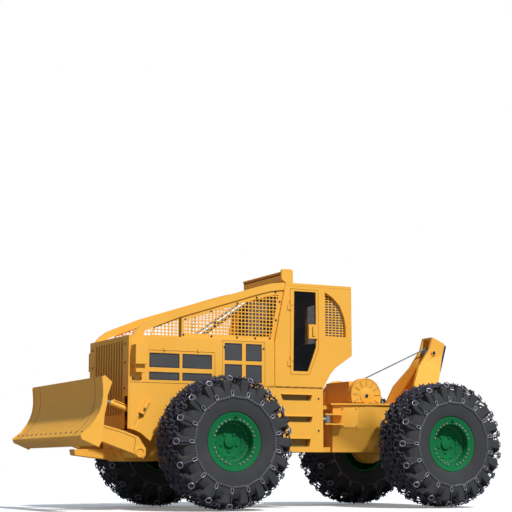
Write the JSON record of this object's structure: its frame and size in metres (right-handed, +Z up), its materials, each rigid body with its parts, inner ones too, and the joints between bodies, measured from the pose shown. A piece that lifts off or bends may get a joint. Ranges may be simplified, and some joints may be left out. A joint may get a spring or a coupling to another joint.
{
  "type": "cable skidder",
  "caption": "Articulated four-wheel forestry tractor with a front blade, a sloping guard over the hood, a closed cab, ring chains on its tyres, and a winch with a rear arch.",
  "frame": {"origin": "on the ground under the middle of the machine's bounding box", "axes": "+X forward towards the blade, +Y to the machine's left, +Z up"},
  "size_m": [7.2962, 3.5476, 3.8063],
  "materials": {
    "yellow_paint": "satin",
    "green_paint": "satin",
    "tyre": "matt",
    "chain_steel": "satin",
    "bare_steel": "satin",
    "engine_iron": "matt",
    "seat_cover": "matt"
  },
  "bodies": {
    "front": {"front_frame": "yellow_paint", "front_axle": "yellow_paint", "hood": "yellow_paint", "grille_frame": "yellow_paint", "grille_core": "yellow_paint", "engine_block": "engine_iron", "cab_shell": "yellow_paint", "cab_roof": "yellow_paint", "roof_box": "yellow_paint", "canopy_guard": "yellow_paint", "left_side_mesh": "yellow_paint", "right_side_mesh": "yellow_paint", "seat": "seat_cover", "exhaust": "bare_steel", "left_side": "yellow_paint", "right_side": "yellow_paint", "left_headlight": "yellow_paint", "right_headlight": "yellow_paint", "left_quarter_mesh": "yellow_paint", "right_quarter_mesh": "yellow_paint"},
    "rear": {"rear_frame": "yellow_paint", "rear_axle": "yellow_paint", "deck": "yellow_paint", "winch_case": "yellow_paint", "arch": "yellow_paint", "winch_line": "bare_steel"},
    "blade": {"blade": "yellow_paint"},
    "front_left_wheel": {"front_left_rim": "green_paint", "front_left_tyre": "tyre", "front_left_chain": "chain_steel"},
    "front_right_wheel": {"front_right_rim": "green_paint", "front_right_tyre": "tyre", "front_right_chain": "chain_steel"},
    "rear_left_wheel": {"rear_left_rim": "green_paint", "rear_left_tyre": "tyre", "rear_left_chain": "chain_steel"},
    "rear_right_wheel": {"rear_right_rim": "green_paint", "rear_right_tyre": "tyre", "rear_right_chain": "chain_steel"},
    "left_lift_barrel": {"left_lift_barrel": "yellow_paint"},
    "left_lift_rod": {"left_lift_rod": "bare_steel"},
    "left_steer_barrel": {"left_steer_barrel": "yellow_paint"},
    "left_steer_rod": {"left_steer_rod": "bare_steel"},
    "left_door": {"left_door": "yellow_paint"},
    "right_lift_barrel": {"right_lift_barrel": "yellow_paint"},
    "right_lift_rod": {"right_lift_rod": "bare_steel"},
    "right_steer_barrel": {"right_steer_barrel": "yellow_paint"},
    "right_steer_rod": {"right_steer_rod": "bare_steel"},
    "right_door": {"right_door": "yellow_paint"},
    "winch_drum": {"winch_drum": "bare_steel"},
    "top_roller": {"top_roller": "bare_steel"}
  },
  "joints": [
    {"name": "articulation", "type": "hinge", "parent": "front", "child": "rear", "pos_m": [-0.88186, 0, 1.28627], "axis": [0, 0, 1], "range_deg": [-40, 40]},
    {"name": "front_left_wheel", "type": "hinge", "parent": "front", "child": "front_left_wheel", "pos_m": [1.26814, 1.35, 1.01627], "axis": [0, 1, 0], "continuous": true},
    {"name": "front_right_wheel", "type": "hinge", "parent": "front", "child": "front_right_wheel", "pos_m": [1.26814, -1.35, 1.01627], "axis": [0, 1, 0], "continuous": true},
    {"name": "rear_left_wheel", "type": "hinge", "parent": "rear", "child": "rear_left_wheel", "pos_m": [-2.63186, 1.35, 1.01627], "axis": [0, 1, 0], "continuous": true},
    {"name": "rear_right_wheel", "type": "hinge", "parent": "rear", "child": "rear_right_wheel", "pos_m": [-2.63186, -1.35, 1.01627], "axis": [0, 1, 0], "continuous": true},
    {"name": "blade_lift", "type": "hinge", "parent": "front", "child": "blade", "pos_m": [2.43814, 0, 0.86627], "axis": [0, 1, 0], "range_deg": [-8, 50]},
    {"name": "left_lift_swivel", "type": "hinge", "parent": "front", "child": "left_lift_barrel", "pos_m": [2.11814, 0.73, 1.34627], "axis": [0, 1, 0], "range_deg": [-7.15, 39.45]},
    {"name": "left_lift_slide", "type": "slide", "parent": "left_lift_barrel", "child": "left_lift_rod", "axis": [0.9468, 0, 0.3217], "range_m": [-0.073, 0.4302]},
    {"name": "right_lift_swivel", "type": "hinge", "parent": "front", "child": "right_lift_barrel", "pos_m": [2.11814, -0.73, 1.34627], "axis": [0, 1, 0], "range_deg": [-7.15, 39.45]},
    {"name": "right_lift_slide", "type": "slide", "parent": "right_lift_barrel", "child": "right_lift_rod", "axis": [0.9468, 0, 0.3217], "range_m": [-0.073, 0.4302]},
    {"name": "left_steer_swivel", "type": "hinge", "parent": "front", "child": "left_steer_barrel", "pos_m": [0.36814, 0.45, 1.42627], "axis": [0, 0, 1], "range_deg": [-5.12, 5.12]},
    {"name": "left_steer_slide", "type": "slide", "parent": "left_steer_barrel", "child": "left_steer_rod", "axis": [-0.9993, 0.0362, 0], "range_m": [-0.3357, 0.3357]},
    {"name": "right_steer_swivel", "type": "hinge", "parent": "front", "child": "right_steer_barrel", "pos_m": [0.36814, -0.45, 1.42627], "axis": [0, 0, 1], "range_deg": [-5.12, 5.12]},
    {"name": "right_steer_slide", "type": "slide", "parent": "right_steer_barrel", "child": "right_steer_rod", "axis": [-0.9993, -0.0362, 0], "range_m": [-0.3357, 0.3357]},
    {"name": "left_door", "type": "hinge", "parent": "front", "child": "left_door", "pos_m": [-0.13686, 0.864, 2.12627], "axis": [0, 0, -1], "range_deg": [0, 100]},
    {"name": "right_door", "type": "hinge", "parent": "front", "child": "right_door", "pos_m": [-0.13686, -0.864, 2.12627], "axis": [0, 0, 1], "range_deg": [0, 100]},
    {"name": "winch_drum", "type": "hinge", "parent": "rear", "child": "winch_drum", "pos_m": [-1.76186, 0, 1.82627], "axis": [0, 1, 0], "continuous": true},
    {"name": "top_roller", "type": "hinge", "parent": "rear", "child": "top_roller", "pos_m": [-3.34686, 0, 2.62627], "axis": [0, 1, 0], "continuous": true}
  ],
  "couplings": [
    {"joint": "left_lift_swivel", "follows": "blade_lift", "ratio": 0.769},
    {"joint": "left_lift_slide", "follows": "blade_lift", "m_per_rad": 0.4872},
    {"joint": "right_lift_swivel", "follows": "blade_lift", "ratio": 0.769},
    {"joint": "right_lift_slide", "follows": "blade_lift", "m_per_rad": 0.4872},
    {"joint": "left_steer_swivel", "follows": "articulation", "ratio": 0.1029},
    {"joint": "left_steer_slide", "follows": "articulation", "m_per_rad": 0.4737},
    {"joint": "right_steer_swivel", "follows": "articulation", "ratio": 0.1029},
    {"joint": "right_steer_slide", "follows": "articulation", "m_per_rad": -0.4737}
  ]
}
